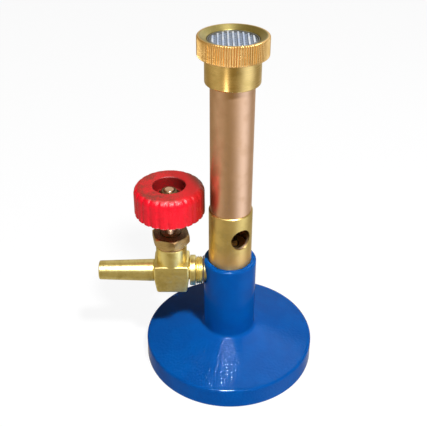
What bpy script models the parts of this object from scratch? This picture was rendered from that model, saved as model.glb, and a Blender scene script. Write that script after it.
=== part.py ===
"""Bench bunsen burner: cast foot, needle valve with a hose nozzle, air collar and a gridded head.

Lengths below are in millimetres and become metres as each mesh is made. The origin is on the
foot's underside, on the burner tube's axis. +Z runs up the tube, and the hose nozzle points to -X.
"""
import math

import bmesh
import bpy
from mathutils import Matrix, Vector

MM = 0.001
GAP = 0.3              # between pieces that touch or screw together
RUN = 0.12             # round the air collar, which turns on the tube
STEPS = 40             # sides of a turned piece
FINE_STEPS = 64        # sides of the widest turned pieces
LINE_STEPS = 28        # sides of the pieces on the gas line and the valve's axis
SMALL_STEPS = 20       # sides of the smallest turned pieces
SHARP_ANGLE = 35.0     # degrees; an edge steeper than this is shaded sharp
OVERRUN = 2.0          # how far a cutter runs past what it cuts
SKIN = 0.01            # keeps an envelope's end off the face it would share
WELD = 0.00001         # metres; closer vertices are joined
CHAMFER = 0.4          # broken edge of a machined piece

# Foot
FOOT_R = 42.5
FOOT_EDGE_Z = 10.4     # height of the rim's edge
FOOT_CONE_Z = 17.0     # height of the cone where it meets the boss
RECESS_Z = 5.5         # hollow under the foot
RECESS_R = 37.5
PAD_R = 12.0           # pad in the middle of the hollow
BOSS_R = 12.8
BOSS_TOP = 57.6
BOSS_BORE_R = 8.6
BOSS_BORE_FLOOR = 38.0
COUNTERBORE_R = 10.7
COUNTERBORE_FLOOR = 56.3

# Burner tube, its seat and the air collar
TUBE_R = 9.63
TUBE_WALL = 1.0
TUBE_TOP = 157.7
SEAT_R = BOSS_BORE_R - GAP
SEAT_FLANGE_TOP = 58.5
SEAT_TOP = 66.0
COLLAR_R = 10.25
COLLAR_TOP = 86.0
AIR_HOLE_R = 5.0
AIR_HOLE_Z = 73.8
AIR_HOLE_TURN = 30.0   # degrees from -Y towards +X
JET_TIP = 72.6
CHANNEL_R = 1.75       # gas way inside the seat

# Gas line, measured along -X from the tube's axis
LINE_Z = 50.0
PORT_R = 5.9           # port through the boss
SPOT_FACE_R = 7.4
SPOT_FACE_X = 12.2
VALVE_X = 28.2         # distance of the valve's axis from the tube's axis
NOZZLE_END = 63.8
NOZZLE_ROOT_R = 5.45
NOZZLE_TIP_R = 4.65
NOZZLE_BORE_R = 2.9
SOCKET_R = 4.7         # sockets of the block and tails of the pieces that screw in
NIPPLE_R = 5.5
WASHER = 0.6           # thickness of the sealing washers

# Needle valve
BLOCK_HALF_X = 8.5
BLOCK_HALF_Y = 7.5
BLOCK_FOOT_HALF_X = 7.3
BLOCK_FLOOR = 41.6
BLOCK_TOP = 56.8
NECK_R = 7.4
NECK_TOP = 65.6
NECK_THREAD_R = 6.2
NECK_THREAD_DEPTH = 6.0
CHAMBER_R = 5.3
CHAMBER_FLOOR = 53.6
ORIFICE_R = 1.6
HEX_FLATS = 16.3
HEX_FLOOR = 66.7
HEX_TOP = 72.5
HEX_TURN = 14.0        # degrees that a corner stands from -Y towards +X
STUB_FLOOR = 60.2      # the bonnet's threaded stub inside the neck
STUB_BORE_R = 3.3
SEAL_BORE_R = 3.6      # bore that the O-ring slides in, from 65 to 70 mm
SEAL_BORE_FLOOR = 65.0
BUSH_FLOOR = 70.0
BUSH_HOLE_R = 5.0
SPINDLE_R = 2.45
SPINDLE_END_R = 2.3
SEAL_Z = 66.2          # O-ring with the valve closed; it rises 3 mm as the valve opens
KNOB_R = 16.4
KNOB_FLOOR = 84.2
KNOB_TOP = 98.3
KNOB_RECESS_R = 7.7
KNOB_RECESS_FLOOR = 92.5
HUB_FLOOR = 81.5
FLUTES = 24

# Head
HEAD_FLOOR = 147.5
HEAD_R = 11.9
HEAD_TOP = 162.0
SEAT_LIP_R = 10.2      # flared inner edge of the head socket
RING_R = 15.0
RING_FLOOR = 159.4
RING_TOP = 167.8
RING_TEETH = 90
GRID_R = 9.9
GRID_PITCH = 2.1
GRID_TOP = 166.1


def clear_scene():
    for old in list(bpy.data.objects):
        bpy.data.objects.remove(old, do_unlink=True)


def new_collection(name):
    made = bpy.data.collections.new(name)
    bpy.context.scene.collection.children.link(made)
    return made


def make_material(name, colour, roughness, metallic):
    made = bpy.data.materials.new(name)
    made.use_nodes = True
    shader = made.node_tree.nodes["Principled BSDF"]
    shader.inputs["Base Color"].default_value = (*colour, 1.0)
    shader.inputs["Roughness"].default_value = roughness
    shader.inputs["Metallic"].default_value = metallic
    made.diffuse_color = (*colour, 1.0)
    return made


def make_smooth_group():
    """A node group that shades faces smooth and keeps edges over SHARP_ANGLE sharp."""
    group = bpy.data.node_groups.new("smooth_by_angle", "GeometryNodeTree")
    group.interface.new_socket("Geometry", in_out="INPUT", socket_type="NodeSocketGeometry")
    group.interface.new_socket("Geometry", in_out="OUTPUT", socket_type="NodeSocketGeometry")
    source = group.nodes.new("NodeGroupInput")
    result = group.nodes.new("NodeGroupOutput")
    faces = group.nodes.new("GeometryNodeSetShadeSmooth")
    edges = group.nodes.new("GeometryNodeSetShadeSmooth")
    angle = group.nodes.new("GeometryNodeInputMeshEdgeAngle")
    steep = group.nodes.new("FunctionNodeCompare")
    steep.operation = "GREATER_THAN"
    steep.inputs[1].default_value = math.radians(SHARP_ANGLE)
    edges.domain = "EDGE"
    edges.inputs["Shade Smooth"].default_value = False
    group.links.new(angle.outputs["Unsigned Angle"], steep.inputs[0])
    group.links.new(steep.outputs["Result"], edges.inputs["Selection"])
    group.links.new(source.outputs[0], faces.inputs["Geometry"])
    group.links.new(faces.outputs[0], edges.inputs["Geometry"])
    group.links.new(edges.outputs[0], result.inputs[0])
    return group


clear_scene()
PARTS = new_collection("bunsen_burner")
CUTTERS = new_collection("cutters")
SMOOTH = make_smooth_group()

BLUE = make_material("blue_enamel", (0.010, 0.085, 0.36), 0.32, 0.0)
BRASS = make_material("turned_brass", (0.62, 0.46, 0.16), 0.30, 1.0)
RING_BRASS = make_material("knurled_brass", (0.78, 0.47, 0.16), 0.33, 1.0)
VALVE_BRASS = make_material("cast_brass", (0.58, 0.46, 0.17), 0.42, 1.0)
DARK_BRASS = make_material("aged_brass", (0.26, 0.16, 0.07), 0.40, 1.0)
COPPER = make_material("copper_tube", (0.66, 0.38, 0.22), 0.28, 1.0)
RED = make_material("red_plastic", (0.70, 0.010, 0.016), 0.35, 0.0)
NICKEL = make_material("nickel_strip", (0.66, 0.70, 0.78), 0.30, 1.0)
FIBRE = make_material("seal_fibre", (0.05, 0.035, 0.03), 0.85, 0.0)
RUBBER = make_material("seal_rubber", (0.015, 0.015, 0.015), 0.75, 0.0)

# Pieces on the gas line are turned about an axis that points to -X
ON_LINE = Matrix.Translation((0, 0, LINE_Z * MM)) @ Matrix.Rotation(math.radians(-90), 4, "Y")
ON_TUBE = Matrix.Identity(4)
ON_VALVE = Matrix.Translation((-VALVE_X * MM, 0, 0))


def add_object(name, mesh, place, material=None):
    """Link a part, or a cutter when it has no material, into its collection."""
    made = bpy.data.objects.new(name, mesh)
    made.matrix_world = place
    if material is None:
        CUTTERS.objects.link(made)
        made.hide_render = True
        made.display_type = "WIRE"
    else:
        PARTS.objects.link(made)
        made.data.materials.append(material)
    return made


def arc(centre_r, centre_z, radius, start, end, count=5):
    """Points of an arc in the turning plane; angles in degrees from +r towards +z."""
    points = []
    for step in range(count + 1):
        angle = math.radians(start + (end - start) * step / count)
        points.append((centre_r + radius * math.cos(angle), centre_z + radius * math.sin(angle)))
    return points


def turned(name, outline, place=ON_TUBE, material=None, steps=STEPS):
    """Turn an outline of (radius, height) points; one that leaves the axis is a closed ring."""
    mesh = bpy.data.meshes.new(name)
    verts = [(r * MM, 0, z * MM) for r, z in outline]
    edges = [(i, i + 1) for i in range(len(verts) - 1)]
    if outline[0][0] > 0:
        edges.append((len(verts) - 1, 0))
    mesh.from_pydata(verts, edges, [])
    made = add_object(name, mesh, place, material)
    screw = made.modifiers.new("turn", "SCREW")
    screw.steps = steps
    screw.render_steps = steps
    screw.use_merge_vertices = True
    screw.merge_threshold = WELD
    return made


def cylinder(name, radius, low, high, place=ON_TUBE, steps=STEPS, material=None):
    """A closed cylinder, or a prism with few steps, between two heights on its axis."""
    mesh = bpy.data.meshes.new(name)
    bm = bmesh.new()
    middle = Matrix.Translation((0, 0, (low + high) / 2 * MM))
    bmesh.ops.create_cone(bm, cap_ends=True, segments=steps, radius1=radius * MM,
                          radius2=radius * MM, depth=(high - low) * MM, matrix=middle)
    bm.to_mesh(mesh)
    bm.free()
    return add_object(name, mesh, place, material)


def combine(piece, tool, operation="DIFFERENCE"):
    boolean = piece.modifiers.new(tool.name, "BOOLEAN")
    boolean.operation = operation
    boolean.solver = "EXACT"
    boolean.object = tool


def hex_radius(flats):
    return flats / 2 / math.cos(math.radians(30))


def turn_about(place, degrees):
    return place @ Matrix.Rotation(math.radians(degrees), 4, "Z")


def make_foot():
    """Cast foot: low cone, tall boss, and a hollow ring underneath round a central pad."""
    rim = 1.6
    lip = 0.8
    fillet = 2.5
    sole = 0.6
    draft = 1.0
    outline = [(0, BOSS_BORE_FLOOR), (BOSS_BORE_R, BOSS_BORE_FLOOR)]
    outline += [(BOSS_BORE_R, COUNTERBORE_FLOOR), (COUNTERBORE_R, COUNTERBORE_FLOOR)]
    outline += [(COUNTERBORE_R, BOSS_TOP - CHAMFER)]
    outline += [(COUNTERBORE_R + CHAMFER, BOSS_TOP)]
    outline += arc(BOSS_R - lip, BOSS_TOP - lip, lip, 90, 0, 3)
    outline += arc(BOSS_R + fillet, FOOT_CONE_Z + fillet, fillet, 180, 256, 3)
    outline += arc(FOOT_R - rim, FOOT_EDGE_Z - rim, rim, 76, 0, 3)
    outline += [(FOOT_R, sole), (FOOT_R - sole, 0)]
    outline += [(RECESS_R + draft, 0), (RECESS_R, RECESS_Z), (PAD_R + 2 * draft, RECESS_Z)]
    outline += [(PAD_R, 0), (0, 0)]
    foot = turned("foot", outline, material=BLUE, steps=FINE_STEPS)
    reach = BOSS_R + OVERRUN
    port = cylinder("cut_port", PORT_R, BOSS_BORE_R - OVERRUN, reach, ON_LINE, LINE_STEPS)
    face = cylinder("cut_spot_face", SPOT_FACE_R, SPOT_FACE_X, reach, ON_LINE, LINE_STEPS)
    combine(foot, port)
    combine(foot, face)


def make_tube_group():
    """The seat that screws into the boss, its gasket, the gas jet, the tube and the air collar."""
    gasket_low = COUNTERBORE_FLOOR + GAP
    gasket_high = gasket_low + WASHER
    flange_r = COLLAR_R - 0.85
    turned("seat_gasket", [(flange_r, gasket_high), (flange_r, gasket_low),
                           (BOSS_BORE_R, gasket_low), (BOSS_BORE_R, gasket_high)],
           material=FIBRE, steps=LINE_STEPS)

    jet_hole_r = 2.6
    jet_hole_floor = SEAT_TOP - 6.0
    channel_floor = LINE_Z - 4.0
    edge = 0.5
    groove_r = SEAT_R - 1.0
    groove_half = 2.5
    floor = BOSS_BORE_FLOOR + GAP
    flange_low = gasket_high + GAP
    outline = [(0, channel_floor), (CHANNEL_R, channel_floor), (CHANNEL_R, jet_hole_floor)]
    outline += [(jet_hole_r, jet_hole_floor), (jet_hole_r, SEAT_TOP), (SEAT_R - edge, SEAT_TOP)]
    outline += [(SEAT_R, SEAT_TOP - edge), (SEAT_R, SEAT_FLANGE_TOP), (flange_r, SEAT_FLANGE_TOP)]
    outline += [(flange_r, flange_low), (SEAT_R, flange_low), (SEAT_R, LINE_Z + groove_half)]
    outline += [(groove_r, LINE_Z + groove_half), (groove_r, LINE_Z - groove_half)]
    outline += [(SEAT_R, LINE_Z - groove_half), (SEAT_R, floor + edge), (SEAT_R - edge, floor)]
    outline += [(0, floor)]
    seat = turned("burner_seat", outline, material=BRASS)
    near_axis = 0.4
    gas_hole = cylinder("cut_seat_gas_hole", CHANNEL_R, near_axis, SEAT_R + OVERRUN, ON_LINE, 24)
    combine(seat, gas_hole)

    make_jet(jet_hole_r)

    bore_r = TUBE_R - TUBE_WALL
    foot = SEAT_FLANGE_TOP + GAP
    tube = turned("burner_tube", [(bore_r, TUBE_TOP), (TUBE_R, TUBE_TOP), (TUBE_R, foot),
                                  (bore_r, foot)], material=COPPER)
    across = turn_about(Matrix.Translation((0, 0, AIR_HOLE_Z * MM)), AIR_HOLE_TURN)
    across = across @ Matrix.Rotation(math.radians(90), 4, "X")
    reach = COLLAR_R + OVERRUN
    holes = cylinder("cut_air_holes", AIR_HOLE_R, -reach, reach, across, LINE_STEPS)
    combine(tube, holes)

    sleeve_r = TUBE_R + RUN
    edge = 0.18
    outline = [(sleeve_r + edge, COLLAR_TOP), (COLLAR_R - edge, COLLAR_TOP)]
    outline += [(COLLAR_R, COLLAR_TOP - edge), (COLLAR_R, gasket_low), (sleeve_r, gasket_low)]
    outline += [(sleeve_r, COLLAR_TOP - edge)]
    collar = turned("air_collar", outline, material=BRASS)
    combine(collar, holes)


def make_jet(hole_r):
    """Gas jet: threaded tail, hexagon and a coned nose with a fine orifice."""
    tail_r = hole_r - GAP
    low = SEAT_TOP - 5.5
    nose_r = 2.2
    nose_tip_r = 1.3
    nose_length = 3.0
    flats = 6.5
    hexagon_low = SEAT_TOP + GAP
    hexagon_high = SEAT_TOP + 3.2
    shoulder = SEAT_TOP + 1.0
    outline = [(0, JET_TIP), (nose_tip_r, JET_TIP), (nose_r, JET_TIP - nose_length)]
    outline += [(nose_r, shoulder), (tail_r, shoulder), (tail_r, low), (0, low)]
    jet = turned("gas_jet", outline, material=BRASS, steps=SMALL_STEPS)
    hexagon = cylinder("join_jet_hexagon", hex_radius(flats), hexagon_low, hexagon_high, ON_TUBE, 6)
    orifice_r = 0.5
    orifice_length = 1.4
    gas_way_r = 1.2
    cone = 0.6
    bore = [(0, JET_TIP + OVERRUN), (orifice_r, JET_TIP + OVERRUN)]
    bore += [(orifice_r, JET_TIP - orifice_length), (gas_way_r, JET_TIP - orifice_length - cone)]
    bore += [(gas_way_r, low - OVERRUN), (0, low - OVERRUN)]
    combine(jet, hexagon, "UNION")
    combine(jet, turned("cut_jet_bore", bore, steps=SMALL_STEPS))


def make_line_group():
    """The hose nozzle, the threaded nipple between valve and boss, and the rings on it."""
    block_face = VALVE_X + BLOCK_HALF_X
    tip = 0.9
    tail_r = SOCKET_R - GAP
    tail_end = block_face - 5.3
    shoulder = block_face + GAP
    outline = arc(NOZZLE_TIP_R - tip, NOZZLE_END - tip, tip, 90, 0, 4)
    outline += [(NOZZLE_ROOT_R, shoulder + CHAMFER), (NOZZLE_ROOT_R - CHAMFER, shoulder)]
    outline += [(tail_r, shoulder), (tail_r, tail_end), (NOZZLE_BORE_R, tail_end)]
    outline += [(NOZZLE_BORE_R, NOZZLE_END)]
    turned("hose_nozzle", outline, ON_LINE, VALVE_BRASS, LINE_STEPS)

    near_face = VALVE_X - BLOCK_HALF_X
    ring_low = near_face - GAP - 3.0
    washer_low = SPOT_FACE_X + GAP
    washer_high = washer_low + WASHER
    thread_low = washer_high + GAP
    thread_r = 6.8
    depth = 0.4
    crests = 3
    pitch = (ring_low - thread_low) / crests
    crest_half = 0.15 * pitch
    bore_r = 2.2
    inner_end = SEAT_R + 0.7
    outer_end = near_face + 3.4
    outline = [(bore_r, outer_end), (SOCKET_R, outer_end), (SOCKET_R, near_face - GAP)]
    outline += [(NIPPLE_R, near_face - GAP), (NIPPLE_R, ring_low), (thread_r - depth, ring_low)]
    for turn in range(crests):
        root = ring_low - pitch * turn
        crest = root - pitch / 2
        outline += [(thread_r, crest + crest_half), (thread_r, crest - crest_half)]
        outline += [(thread_r - depth, root - pitch)]
    outline += [(PORT_R - GAP, thread_low), (PORT_R - GAP, inner_end), (bore_r, inner_end)]
    turned("inlet_nipple", outline, ON_LINE, VALVE_BRASS, LINE_STEPS)

    washer_r = SPOT_FACE_R - CHAMFER
    turned("port_washer", [(washer_r, washer_high), (washer_r, washer_low), (PORT_R, washer_low),
                           (PORT_R, washer_high)], ON_LINE, FIBRE, LINE_STEPS)

    low = ring_low + GAP
    high = near_face - GAP
    ring_r = 7.45
    edge = 0.25
    turned("lock_ring", [(ring_r - edge, high), (ring_r, high - edge), (ring_r, low + edge),
                         (ring_r - edge, low), (NIPPLE_R + GAP, low), (NIPPLE_R + GAP, high)],
           ON_LINE, VALVE_BRASS, LINE_STEPS)


def make_block_mesh(upright):
    """Block whose lower half narrows, extruded along its own Z between the two flat sides."""
    shoulder = [(-BLOCK_HALF_X, BLOCK_TOP), (-BLOCK_HALF_X, LINE_Z)]
    outline = shoulder + [(-BLOCK_FOOT_HALF_X, BLOCK_FLOOR), (BLOCK_FOOT_HALF_X, BLOCK_FLOOR)]
    outline += [(-x, z) for x, z in reversed(shoulder)]
    curve = bpy.data.curves.new("block_outline", "CURVE")
    curve.dimensions = "2D"
    curve.fill_mode = "BOTH"
    curve.extrude = BLOCK_HALF_Y * MM
    spline = curve.splines.new("POLY")
    spline.points.add(len(outline) - 1)
    for point, (x, z) in zip(spline.points, outline):
        point.co = (x * MM, z * MM, 0, 1)
    spline.use_cyclic_u = True
    guide = add_object("block_guide", curve, upright)
    bpy.context.view_layer.update()
    shape = guide.evaluated_get(bpy.context.evaluated_depsgraph_get())
    mesh = bpy.data.meshes.new_from_object(shape)
    bm = bmesh.new()
    bm.from_mesh(mesh)
    bmesh.ops.remove_doubles(bm, verts=bm.verts, dist=WELD)
    bmesh.ops.recalc_face_normals(bm, faces=bm.faces)
    bm.to_mesh(mesh)
    bm.free()
    bpy.data.objects.remove(guide)
    return mesh


def make_valve_body():
    """Cast block with a round neck, drilled for the nozzle, the nipple and the needle."""
    upright = ON_VALVE @ Matrix.Rotation(math.radians(90), 4, "X")
    body = add_object("valve_body", make_block_mesh(upright), upright, VALVE_BRASS)
    bevel = body.modifiers.new("soft_edges", "BEVEL")
    bevel.width = 0.7 * MM
    bevel.segments = 2
    bevel.limit_method = "ANGLE"
    sunk = 3.0
    neck = [(0, NECK_TOP), (NECK_R - CHAMFER, NECK_TOP), (NECK_R, NECK_TOP - CHAMFER)]
    neck += [(NECK_R, BLOCK_TOP - sunk), (0, BLOCK_TOP - sunk)]
    combine(body, turned("join_neck", neck, ON_VALVE), "UNION")

    thread_floor = NECK_TOP - NECK_THREAD_DEPTH
    passage_floor = LINE_Z - 0.7
    chamber = [(0, NECK_TOP + OVERRUN), (NECK_THREAD_R, NECK_TOP + OVERRUN)]
    chamber += [(NECK_THREAD_R, thread_floor), (CHAMBER_R, thread_floor)]
    chamber += [(CHAMBER_R, CHAMBER_FLOOR), (ORIFICE_R, CHAMBER_FLOOR)]
    chamber += [(ORIFICE_R, passage_floor), (0, passage_floor)]
    combine(body, turned("cut_chamber", chamber, ON_VALVE, steps=LINE_STEPS))

    outer_face = VALVE_X + BLOCK_HALF_X
    inner_face = VALVE_X - BLOCK_HALF_X
    inlet_floor = outer_face - 5.6
    inlet_r = 1.4
    inlet = [(0, outer_face + OVERRUN), (SOCKET_R, outer_face + OVERRUN), (SOCKET_R, inlet_floor)]
    inlet += [(inlet_r, inlet_floor), (inlet_r, VALVE_X - 0.5), (0, VALVE_X - 0.5)]
    combine(body, turned("cut_inlet", inlet, ON_LINE, steps=SMALL_STEPS))
    outlet_floor = inner_face + 4.0
    outlet = cylinder("cut_outlet", SOCKET_R + GAP, inner_face - OVERRUN, outlet_floor, ON_LINE,
                      SMALL_STEPS)
    combine(body, outlet)


def make_bonnet():
    """Copper washer, hexagon bonnet with a threaded stub, and the gland bush in its top."""
    washer_low = NECK_TOP + GAP
    washer_high = HEX_FLOOR - GAP
    washer_r = NECK_R - 0.2
    turned("bonnet_washer", [(washer_r, washer_high), (washer_r, washer_low),
                             (NECK_THREAD_R, washer_low), (NECK_THREAD_R, washer_high)],
           ON_VALVE, COPPER, LINE_STEPS)

    corner = hex_radius(HEX_FLATS)
    # A six-sided prism has a corner on its own -Y
    hex_place = turn_about(ON_VALVE, HEX_TURN)
    bonnet = cylinder("bonnet_nut", corner, HEX_FLOOR, HEX_TOP, hex_place, 6, DARK_BRASS)
    top_r = HEX_FLATS / 2 - 0.3
    top_fall = 0.8
    foot_r = NECK_R + 0.2
    foot_fall = 2.2
    outside = corner + 0.2
    envelope = [(0, HEX_TOP + SKIN), (top_r, HEX_TOP + SKIN), (outside, HEX_TOP - top_fall)]
    envelope += [(outside, HEX_FLOOR + foot_fall), (foot_r, HEX_FLOOR - SKIN)]
    envelope += [(0, HEX_FLOOR - SKIN)]
    combine(bonnet, turned("keep_hexagon_chamfer", envelope, ON_VALVE), "INTERSECT")
    stub_r = NECK_THREAD_R - GAP
    inside = HEX_FLOOR + OVERRUN
    stub = cylinder("join_bonnet_stub", stub_r, STUB_FLOOR, inside, ON_VALVE, SMALL_STEPS)
    combine(bonnet, stub, "UNION")
    bore = [(0, HEX_TOP + OVERRUN), (BUSH_HOLE_R, HEX_TOP + OVERRUN), (BUSH_HOLE_R, BUSH_FLOOR)]
    bore += [(SEAL_BORE_R, BUSH_FLOOR), (SEAL_BORE_R, SEAL_BORE_FLOOR)]
    bore += [(STUB_BORE_R, SEAL_BORE_FLOOR - CHAMFER), (STUB_BORE_R, STUB_FLOOR - OVERRUN)]
    bore += [(0, STUB_FLOOR - OVERRUN)]
    combine(bonnet, turned("cut_bonnet_bore", bore, ON_VALVE, steps=SMALL_STEPS))

    bush_r = BUSH_HOLE_R - GAP
    bush_low = BUSH_FLOOR + GAP
    bush_high = HEX_TOP + 0.6
    hole = SPINDLE_R + 0.2
    edge = 0.3
    turned("gland_bush", [(hole, bush_high), (bush_r - edge, bush_high), (bush_r, bush_high - edge),
                          (bush_r, bush_low), (hole, bush_low)], ON_VALVE, DARK_BRASS, SMALL_STEPS)


def make_stem_group():
    """Needle spindle with its O-ring, and the handwheel with the washer and nut that hold it."""
    stop_high = HUB_FLOOR - GAP
    stop_low = stop_high - 1.2
    stop_r = 3.6
    top = 96.2
    edge = 0.5
    groove_r = 1.95
    groove_half = 1.0
    thread_r = STUB_BORE_R - GAP
    thread_high = 64.0
    thread_low = 58.0
    needle_r = 2.2
    needle_high = 56.0
    point_r = 0.6
    point = CHAMBER_FLOOR - 2.0
    outline = [(0, top), (SPINDLE_END_R - edge, top), (SPINDLE_END_R, top - edge)]
    outline += [(SPINDLE_END_R, stop_high), (stop_r, stop_high), (stop_r, stop_low)]
    outline += [(SPINDLE_R, stop_low), (SPINDLE_R, SEAL_Z + groove_half)]
    outline += [(groove_r, SEAL_Z + groove_half), (groove_r, SEAL_Z - groove_half)]
    outline += [(SPINDLE_R, SEAL_Z - groove_half), (SPINDLE_R, thread_high + 0.3)]
    outline += [(thread_r, thread_high), (thread_r, thread_low), (needle_r, thread_low - CHAMFER)]
    outline += [(needle_r, needle_high), (point_r, point), (0, point)]
    turned("valve_spindle", outline, ON_VALVE, COPPER, SMALL_STEPS)

    ring = arc(2.8, SEAL_Z, 0.62, 90, -270, 8)
    turned("spindle_o_ring", ring[:-1], ON_VALVE, RUBBER, SMALL_STEPS)

    bore_r = SPINDLE_END_R + GAP
    make_knob(HUB_FLOOR, bore_r)

    washer_low = KNOB_RECESS_FLOOR + GAP
    washer_high = washer_low + 0.5
    washer_r = 5.6
    turned("knob_washer", [(washer_r, washer_high), (washer_r, washer_low), (bore_r, washer_low),
                           (bore_r, washer_high)], ON_VALVE, DARK_BRASS, SMALL_STEPS)
    nut_low = washer_high + GAP
    nut_high = nut_low + 1.9
    corner = hex_radius(7.0)
    nut = cylinder("knob_nut", corner, nut_low, nut_high, turn_about(ON_VALVE, 10), 6, BRASS)
    outside = corner + 0.26
    chamfer = [(0, nut_high + SKIN), (3.3, nut_high + SKIN), (outside, nut_high - 0.6)]
    chamfer += [(outside, nut_low - OVERRUN), (0, nut_low - OVERRUN)]
    combine(nut, turned("keep_nut_chamfer", chamfer, ON_VALVE, steps=SMALL_STEPS), "INTERSECT")
    hole = cylinder("cut_nut_bore", bore_r, nut_low - OVERRUN, nut_high + OVERRUN, ON_VALVE,
                    SMALL_STEPS)
    combine(nut, hole)


def make_knob(hub_floor, bore_r):
    """Moulded handwheel: fluted cap with a recess on top and a hub inside the skirt."""
    shoulder = 2.2
    foot = 0.7
    edge = 0.5
    recess_draft = 0.4
    skirt_r = KNOB_R - 2.4
    web = KNOB_RECESS_FLOOR - 3.0
    hub_r = 5.4
    hub_root_r = 6.0
    outline = [(KNOB_RECESS_R - recess_draft, KNOB_RECESS_FLOOR), (KNOB_RECESS_R, KNOB_TOP - edge)]
    outline += [(KNOB_RECESS_R + edge, KNOB_TOP)]
    outline += arc(KNOB_R - shoulder, KNOB_TOP - shoulder, shoulder, 90, 0, 4)
    outline += arc(KNOB_R - foot, KNOB_FLOOR + foot, foot, 0, -90, 2)
    outline += [(skirt_r, KNOB_FLOOR), (skirt_r - edge, web), (hub_root_r, web), (hub_r, hub_floor)]
    outline += [(bore_r, hub_floor), (bore_r, KNOB_RECESS_FLOOR)]
    knob = turned("knob", outline, ON_VALVE, RED)

    flute_r = 1.15
    flute_depth = 0.55
    length = KNOB_TOP - KNOB_FLOOR + 2 * OVERRUN
    out = KNOB_R + flute_r - flute_depth
    reach = Vector((out * MM, 0, (KNOB_FLOOR + KNOB_TOP) / 2 * MM))
    bm = bmesh.new()
    for index in range(FLUTES):
        turn = Matrix.Rotation(2 * math.pi * index / FLUTES, 4, "Z")
        bmesh.ops.create_cone(bm, cap_ends=True, segments=10, radius1=flute_r * MM,
                              radius2=flute_r * MM, depth=length * MM,
                              matrix=turn @ Matrix.Translation(reach))
    mesh = bpy.data.meshes.new("cut_flutes")
    bm.to_mesh(mesh)
    bm.free()
    combine(knob, add_object("cut_flutes", mesh, ON_VALVE))


def make_head():
    """Head socket, the grid in its frame, and the knurled ring that clamps the frame."""
    bore_r = TUBE_R - TUBE_WALL
    socket_r = TUBE_R + GAP
    lip_z = TUBE_TOP + GAP
    foot = 1.6
    outline = [(SEAT_LIP_R, HEAD_TOP), (HEAD_R - CHAMFER, HEAD_TOP), (HEAD_R, HEAD_TOP - CHAMFER)]
    outline += arc(HEAD_R - foot, HEAD_FLOOR + foot, foot, 0, -90, 4)
    outline += [(socket_r, HEAD_FLOOR), (socket_r, lip_z), (bore_r, lip_z), (bore_r, lip_z + 1.0)]
    outline += [(SEAT_LIP_R, HEAD_TOP - 0.8)]
    turned("head_socket", outline, material=BRASS)

    inner_r = GRID_R + GAP
    sleeve_r = inner_r + 0.4
    sleeve_top = GRID_TOP + 0.1
    frame_low = HEAD_TOP + GAP
    frame_high = frame_low + 0.8
    outline = [(inner_r, sleeve_top), (sleeve_r, sleeve_top), (sleeve_r, frame_high)]
    outline += [(HEAD_R, frame_high), (HEAD_R, frame_low), (inner_r, frame_low)]
    turned("grid_frame", outline, material=NICKEL)

    make_grid()
    make_ring(frame_high + GAP, sleeve_r + GAP)


def make_grid():
    """Two crossed sets of upright strips, let into a thin rim."""
    rim_wall = 0.35
    rim_high = GRID_TOP - 0.15
    rim_low = GRID_TOP - 3.0
    outline = [(GRID_R - rim_wall, rim_high), (GRID_R, rim_high), (GRID_R, rim_low)]
    outline += [(GRID_R - rim_wall, rim_low)]
    grid = turned("grid", outline, material=NICKEL)
    reach = GRID_R - rim_wall / 2
    count = int(reach / GRID_PITCH)
    layers = (("join_strips_along_y", 90, GRID_TOP, rim_low + 0.15, 0.34),
              ("join_strips_along_x", 0, GRID_TOP - 0.35, rim_low + 0.3, 0.28))
    for name, turn, high, low, thickness in layers:
        bm = bmesh.new()
        for index in range(-count, count + 1):
            offset = index * GRID_PITCH
            half = math.sqrt(reach ** 2 - offset ** 2)
            size = Matrix.Diagonal((2 * half * MM, thickness * MM, (high - low) * MM, 1))
            centre = Matrix.Translation((0, offset * MM, (high + low) / 2 * MM))
            bmesh.ops.create_cube(bm, size=1, matrix=centre @ size)
        mesh = bpy.data.meshes.new(name)
        bm.to_mesh(mesh)
        bm.free()
        combine(grid, add_object(name, mesh, turn_about(ON_TUBE, turn)), "UNION")


def make_ring(lip_z, lip_r):
    """Knurled ring: straight teeth outside, a thread bore below its lip, a coned mouth."""
    tooth = 0.4
    bm = bmesh.new()
    for index in range(RING_TEETH * 2):
        angle = math.pi * index / RING_TEETH
        radius = RING_R if index % 2 == 0 else RING_R - tooth
        bm.verts.new((radius * MM * math.cos(angle), radius * MM * math.sin(angle), RING_FLOOR * MM))
    foot = bm.faces.new(bm.verts)
    raised = bmesh.ops.extrude_face_region(bm, geom=[foot])["geom"]
    lift = Vector((0, 0, (RING_TOP - RING_FLOOR) * MM))
    bmesh.ops.translate(bm, vec=lift, verts=[v for v in raised if isinstance(v, bmesh.types.BMVert)])
    bmesh.ops.recalc_face_normals(bm, faces=bm.faces)
    mesh = bpy.data.meshes.new("knurled_ring")
    bm.to_mesh(mesh)
    bm.free()
    ring = add_object("knurled_ring", mesh, ON_TUBE, RING_BRASS)

    edge_r = RING_R - tooth - 0.2
    outside = RING_R + 0.2
    fall = 0.7
    envelope = [(0, RING_TOP + SKIN), (edge_r, RING_TOP + SKIN), (outside, RING_TOP - fall)]
    envelope += [(outside, RING_FLOOR + fall), (edge_r, RING_FLOOR - SKIN), (0, RING_FLOOR - SKIN)]
    combine(ring, turned("keep_ring_chamfer", envelope), "INTERSECT")
    thread_r = HEAD_R + GAP
    mouth_r = 13.4
    mouth_z = GRID_TOP + 0.2
    above = RING_TOP + 0.5
    mouth = [(0, above), (mouth_r, above), (lip_r, mouth_z), (lip_r, lip_z)]
    mouth += [(thread_r, lip_z), (thread_r, RING_FLOOR - OVERRUN), (0, RING_FLOOR - OVERRUN)]
    combine(ring, turned("cut_ring_mouth", mouth))


def add_smoothing():
    for piece in PARTS.objects:
        smooth = piece.modifiers.new("smooth_by_angle", "NODES")
        smooth.node_group = SMOOTH


make_foot()
make_tube_group()
make_line_group()
make_valve_body()
make_bonnet()
make_stem_group()
make_head()
add_smoothing()
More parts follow.
